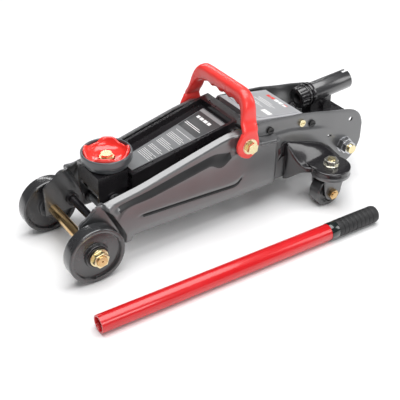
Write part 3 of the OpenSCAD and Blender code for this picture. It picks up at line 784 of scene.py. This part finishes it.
def decal(name, quads, zf, lift, thick, mat, body, n=1):
    """quads: four (X, y) corners each, laid on the surface z = zf(X) + lift, as thin closed plates."""
    V, F = [], []
    for q in quads:
        b0 = len(V)
        for t in (0, thick):
            for (x, y) in q:
                V.append(J(x, y, zf(x) + lift + t))
        F += [(b0 + 3, b0 + 2, b0 + 1, b0), (b0 + 4, b0 + 5, b0 + 6, b0 + 7)] + [(b0 + i, b0 + (i + 1) % 4, b0 + 4 + (i + 1) % 4, b0 + 4 + i) for i in range(4)]
    return obj_from(name, V, F, mat, body, (), smooth=False)


def rounded(x0, x1, h0, h1, r, k=5, skew=0.0):
    """Rounded quadrilateral, |y| h0 at x0 and h1 at x1."""
    out = []
    cs = [(x0 + r, -h0 + r, 180), (x1 - r, -h1 + r, 270), (x1 - r, h1 - r, 0), (x0 + r, h0 - r, 90)]
    for cx, cy, a0 in cs:
        for j in range(k + 1):
            a = math.radians(a0 + 90 * j / k)
            out.append((cx + r * math.cos(a), cy + r * math.sin(a)))
    return out


def plate_on(name, outline, zf, lift, thick, mat, body, bev=0.1):
    n = len(outline)
    V = [J(x, y, zf(x) + lift) for x, y in outline] + [J(x, y, zf(x) + lift + thick) for x, y in outline]
    F = [tuple(reversed(range(n))), tuple(range(n, 2 * n))] + [(i, (i + 1) % n, (i + 1) % n + n, i + n) for i in range(n)]
    ob = obj_from(name, V, F, mat, body, (), smooth=False)
    return ob


tray = lambda x: topz(x) - 8.5
plate_on("arm_label", rounded(74, 203.5, 13.8, 24.2, 2.0), tray, 0.02, 0.28, M["label_grey"], "arm")
plate_on("arm_label_panel", rounded(163, 202.6, 20.2, 23.5, 1.5), tray, 0.28, 0.12, M["label_dark"], "arm")
plate_on("arm_label_strip", rounded(197.2, 202.2, 23.0, 23.4, 0.8), tray, 0.38, 0.08, M["label_pale"], "arm")
bars = []


def bar(x, y0, y1, w=0.5):
    lo, hi = sorted((y0, y1))
    bars.append(((x, lo), (x + w, lo), (x + w, hi), (x, hi)))


for g0, n, ln in ((100.5, 5, (12, -15, -12, -15, -9)), (115.5, 3, (12.5, -13, -16, -10)), (127.5, 4, (13, -16.5, -14, -17, -8)),
                  (142.5, 4, (14, -17, -15, -17.5, -12)), (156.5, 1, (14, -18))):
    for j in range(n):
        bar(g0 + 2.3 * j, ln[0], ln[1 + j % (len(ln) - 1)])
for j, (y0, y1) in enumerate(((18, -15), (18, -11))):
    bar(171.5 + 2.4 * j, y0, y1, 0.8)
for j, (y0, y1) in enumerate(((16, 11), (9.5, 3.5), (2, -5), (-6.5, -12))):
    bar(187.0, y0, y1, 4.2)
decal("arm_label_lines", bars, tray, 0.36, 0.07, M["label_white"], "arm")

# cover: a pressed border and its printed panel
bars = []
plate_on("cover_pressing", rounded(246, 310.5, 34.5, 34.5, 5, 6), coverz, -0.05, 0.75, M["cover_grey"], "chassis")
plate_on("cover_label", rounded(249.5, 308.5, 32.4, 32.4, 2.5, 5), coverz, 0.6, 0.2, M["label_silver"], "chassis")
for j, (y0, y1) in enumerate(((22, -12), (18, -16), (22, -6))):
    bar(281.0 + 3.4 * j, y0, y1, 0.9)
for j, (y0, y1) in enumerate(((10, -8), (12, 2))):
    bar(271.0 + 3.0 * j, y0, y1, 0.8)
bar(262.5, -15.0, -31.0, 7.5)
bar(262.5, 26, 14, 1.0)
bar(266.0, 26, 9, 1.0)
for j, (y0, y1) in enumerate(((6.6, -0.5), (-2.2, -8.6), (-10.4, -17.2))):
    bar(300.2, y0, y1, 5.2)
decal("cover_label_lines", bars, coverz, 0.74, 0.10, M["label_white"], "chassis")
bars = []
for j, (y0, y1) in enumerate(((22.5, 16.0), (14.4, 8.2))):
    bar(300.2, y0, y1, 5.2)
bar(303.9, -10.4, -17.2, 1.5)
decal("cover_label_marks", bars, coverz, 0.76, 0.12, M["label_red"], "chassis")

# ------------------------------------------------------------------ saddle
SX = 52.9


def pad():
    prof = [(9.6, 111.2), (14, 111.6), (20, 112.2), (25.6, 113.2), (26.7, 116), (27.0, 119.5), (27.1, 122.2), (26.6, 123.6), (25.4, 124.2), (24.1, 123.3),
            (23.4, 121.2), (22.2, 118.6), (20.0, 116.4), (16.5, 115.0), (13.0, 114.4), (11.0, 114.35), (9.6, 114.1)]
    n = 144
    V = []
    for i in range(n):
        a = 2 * math.pi * i / n
        lobe = 0.5 + 0.5 * math.cos(4 * (a - math.radians(57)))
        lobe = S(lobe * 1.25 - 0.08)
        for (r, z) in prof:
            up = S((z - 114.5) / 8.5) if r > 19 else 0
            zz = z + up * (2.8 * lobe - 2.6 * (1 - lobe))
            rr = r - up * 0.9 * (1 - lobe) * (1 if r > 24 else 0.4) - (0.5 * math.cos(8 * a) * 0.3 if 10 < r < 20 else 0)
            V.append(J(SX + rr * math.cos(a), rr * math.sin(a), zz))
    return obj_from("saddle_pad_moulding", V, grid_faces(n, len(prof), True, True), M["pad_red"], "saddle", ("saddle_pad",))


pad()
# rounded wavy skirt of the cup, with a rolled rim
prof = round_profile([(5.1, 106.4), (25.8, 106.4, 1.2), (26.6, 111.8, 1.5), (29.9, 113.6, 1.2), (30.25, 116, 1), (30.3, 122.4, 0.9), (29.4, 123.45, 0.5),
                      (27.9, 123.4, 0.5), (27.35, 122.4, 0.5), (27.2, 113.0, 0.8), (25.8, 110.9, 1), (5.1, 109.4)], 0.5, 4)
V, F = lathe(prof, 128, "z", (SX, 0, 0))
cup = obj_from("saddle_cup_casting", V, F, M["cup_grey"], "saddle", ("saddle_cup",))
sharp(cup, 50)

# ------------------------------------------------------------------ caster brackets
ATOP = [(268, 78), (270, 80.5), (272, 82.4), (275, 84.4), (279.4, 85.4), (285, 84.9), (305.8, 79.3), (325, 72.3), (340.4, 66.1), (345, 62.6), (349, 59.5), (352, 57)]
KX, KY = 328.0, 83.0


def bracket_sheet():
    # outline of the plate, from the front of the wall round the caster to its rear
    O = [(280.5, 47.4), (281.2, 50.5), (283.6, 54.8), (287.5, 60.0), (292.2, 65.6), (297.0, 71.2)]
    for k in range(0, 25):
        a = math.radians(196 - 9.2 * k)
        O.append((KX + 23.6 * math.cos(a), KY + 23.6 * math.sin(a)))
    O = O[:6] + [o for o in O[6:]]
    O += [(351.4, 72.0), (351.8, 62), (351.8, 54), (351.6, 47.4)]
    # resample evenly
    P = np.array(O, float)
    d = np.r_[0, np.cumsum(np.hypot(*np.diff(P, axis=0).T))]
    q = np.linspace(0, d[-1], 66)
    OX_, OY_ = np.interp(q, d, P[:, 0]), np.interp(q, d, P[:, 1])
    V = []
    for i in range(len(q)):
        u = q[i] / d[-1]
        xi = 269.0 + (350.5 - 269.0) * (0.06 + 0.94 * u if u > 0.0 else 0)
        col = []
        a_top = smooth_pl(ATOP, xi, 2.0)
        for z in (a_top - 20, a_top - 12, a_top - 6, a_top - 3):
            col.append((xi, 45.35, max(z, 40)))
        col.append((xi, 45.7, a_top - 1.2))
        col.append((xi, 46.4, a_top - 0.3))
        ox, oy = OX_[i], OY_[i]
        zo = 0
        for k in range(1, 15):
            v = k / 14
            x = xi + (ox - xi) * v
            y = 46.4 + (oy - 46.4) * v
            at = smooth_pl(ATOP, x, 2.0)
            t = (y - 46.4) / 27.0
            z = 54 + (at - 54) * (1 - S(0.04 + 0.96 * t)) ** 1.15
            # front edge rolls over
            if v > 0.999:
                zo = z
            col.append((x, y, z))
        # rolled edge and skirt
        nx, ny = ox - KX, oy - KY
        r = math.hypot(nx, ny)
        if i in (0,):
            tx, ty = OX_[1] - OX_[0], OY_[1] - OY_[0]
        elif i == len(q) - 1:
            tx, ty = OX_[-1] - OX_[-2], OY_[-1] - OY_[-2]
        else:
            tx, ty = OX_[i + 1] - OX_[i - 1], OY_[i + 1] - OY_[i - 1]
        L = math.hypot(tx, ty)
        ex, ey = -ty / L, tx / L                     # outward normal in plan
        near = 1 - S((oy - 47.4) / 24.0) if ox < KX else 0
        zb = 47.5 + (32.0 - 47.5) * (near if ox < KX else 0)
        if ox >= KX:
            zb = 47.5
        rr = 1.6
        base = col[-1]
        for k in range(1, 5):
            a = k / 4 * math.pi / 2
            col.append((base[0] + ex * rr * math.sin(a), base[1] + ey * rr * math.sin(a), base[2] - rr * (1 - math.cos(a))))
        lx, ly, lz = col[-1]
        zb = min(zb, lz - 1.2)
        for k in range(1, 7):
            col.append((lx, ly, lz + (zb - lz) * k / 6))
        V.append(col)
    return V


VB = bracket_sheet()
for side, tag in ((-1, "left"), (1, "right")):
    br = make_sheet("caster_bracket_shell_" + tag, VB, side, M["bracket_black"], 2.2, "chassis", ("caster_bracket_" + tag,), 0.0, flip=True)
    # flat seat under the nut and the race of the swivel
    prof = round_profile([(8.3, 50.1), (23.6, 50.1), (23.6, 53.5), (8.3, 53.5)], 0.3, 2)
    V, F = lathe(prof, 72, "z", (KX, side * KY, 0))
    obj_from("caster_seat_" + tag, V, F, M["bracket_black"], "chassis", ())
    prof = round_profile([(9.0, 47.35), (24.3, 47.35, 0.9), (24.3, 49.9, 0.9), (9.0, 49.9)], 0.3, 4)
    V, F = lathe(prof, 96, "z", (KX, side * KY, 0))
    obj_from("caster_race_" + tag, V, F, M["black_paint"], "chassis", ())


# ------------------------------------------------------------------ caster forks
CWX, CWZ = 322.0, 20.0


def fork_profile():
    out = []
    for k in range(-8, 9):
        a = math.radians(-90 + k * 9.5)
        out.append((CWX + 1.5 + 12.0 * math.cos(a), 21.6 + 11.6 * math.sin(a)))
    out += [(CWX + 17.5, 33), (CWX + 21.5, 40), (CWX + 23.5, 44.6)]
    out += [(CWX - 12.5, 44.6), (CWX - 13.0, 38), (CWX - 12.6, 30)]
    return out


for side, tag in ((-1, "left"), (1, "right")):
    V, F = [], []
    for (ya, yb) in ((-13.4, -10.6), (10.6, 13.4)):
        pr = fork_profile()
        n = len(pr)
        b0 = len(V)
        for yy in (ya, yb):
            for (x, z) in pr:
                V.append(J(x, side * KY + yy, z))
        F += [tuple(b0 + j for j in range(n)), tuple(b0 + n + j for j in reversed(range(n)))]
        F += [(b0 + j, b0 + n + j, b0 + n + (j + 1) % n, b0 + (j + 1) % n) for j in range(n)]
    prof = round_profile([(4.3, 44.1), (22.5, 44.1, 0.5), (23.3, 42.0, 0.6), (25.3, 42.2, 0.6), (25.3, 46.9, 1.2), (4.3, 46.9)], 0.3, 3)
    V2, F2 = lathe(prof, 96, "z", (KX, side * KY, 0))
    b0 = len(V)
    V += V2
    F += [tuple(b0 + j for j in f) for f in F2]
    fo = obj_from("caster_fork_pressing_" + tag, V, F, M["black_paint"], "fork_" + tag, ("caster_fork_" + tag,), smooth=False)
    sharp(fo, 35)
    bevel(fo, 0.0006, 2, 40)

# the front and rear cover screws are black, the middle one is zinc plated
me = N["cover_screws"].data
me.materials.append(M["black_oxide"])
for p in me.polygons:
    X = p.center.x * 1000 - OX
    if X < 280 or X > 314:
        p.material_index = 1

for name in N:
    if name in ("return_springs", "pump_spring"):
        for p in N[name].data.polygons:
            p.use_smooth = True
        continue
    soften_cad(name, {"lift_arm": 0.0011, "saddle_bracket": 0.0009, "handle_yoke": 0.0008, "top_cover": 0.0009, "handle_socket": 0.0006}.get(name, 0.0005),
               3 if name in ("lift_arm", "saddle_bracket", "top_cover") else 2)
